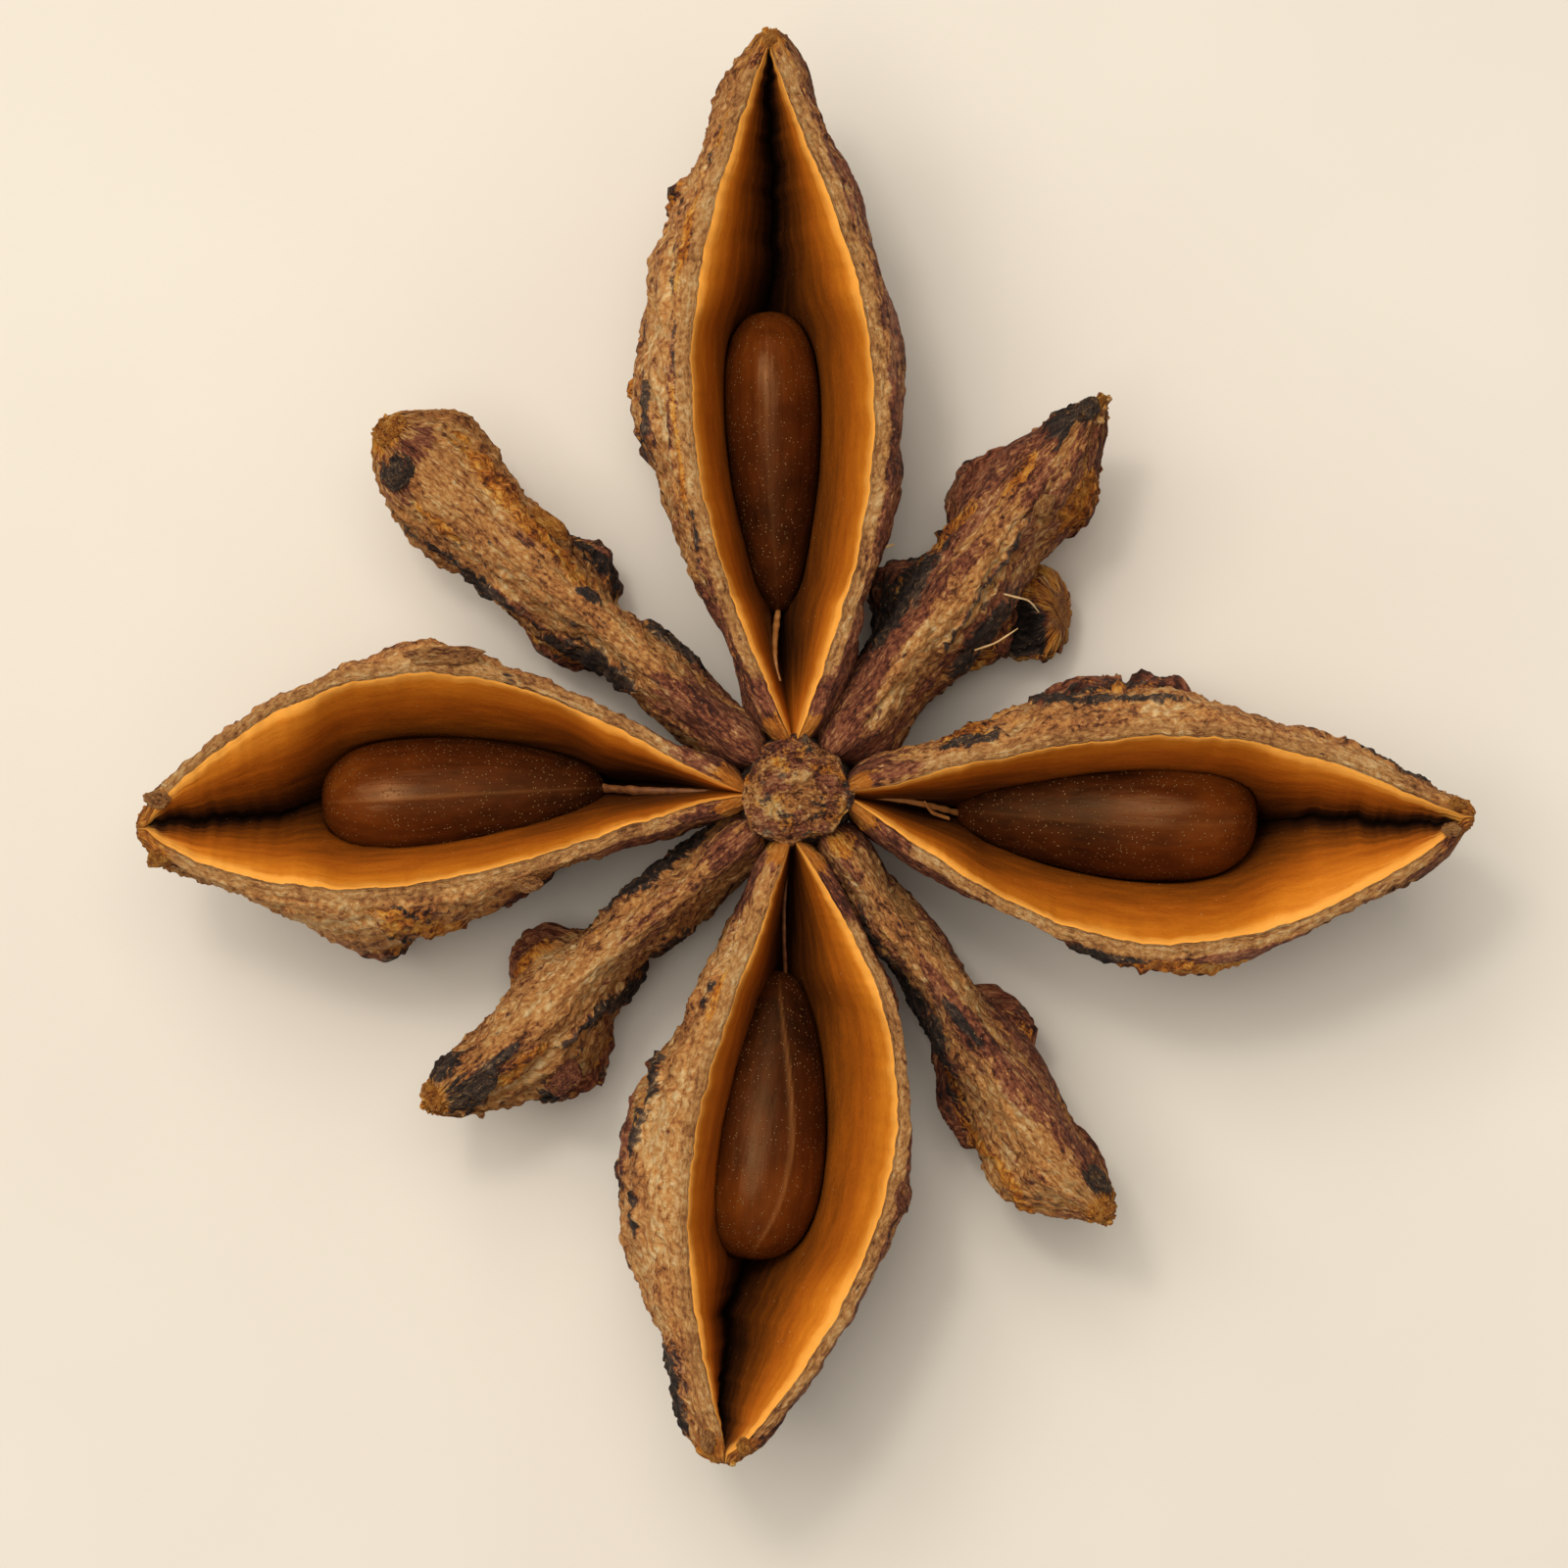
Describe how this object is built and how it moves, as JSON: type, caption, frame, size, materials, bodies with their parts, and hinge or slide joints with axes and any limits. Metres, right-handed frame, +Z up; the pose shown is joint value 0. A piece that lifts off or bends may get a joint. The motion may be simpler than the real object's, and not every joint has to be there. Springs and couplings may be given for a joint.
{
  "type": "star anise pod",
  "caption": "Dried star-shaped spice pod: boat-shaped carpels round a short column, some split open over a glossy seed, others narrow and shut, with a bent stub of stalk beneath.",
  "frame": {"origin": "middle of the pod's footprint, on the surface it lies on", "axes": "+Z up, out of the open carpels; +Y along the longest split carpel; +X along the split carpel to its right as seen from above"},
  "size_m": [0.0358, 0.0384, 0.0092],
  "materials": {
    "husk": "rough dried bark with a corky tan bloom over purple-brown, and a smooth satin amber lining inside the open carpels",
    "seed_coat": "hard glossy chestnut seed coat with a faint seam and a little pale dust"
  },
  "bodies": {
    "root": {"pod": "husk", "seed_e": "seed_coat", "seed_n": "seed_coat", "seed_w": "seed_coat", "seed_s": "seed_coat"}
  },
  "joints": []
}
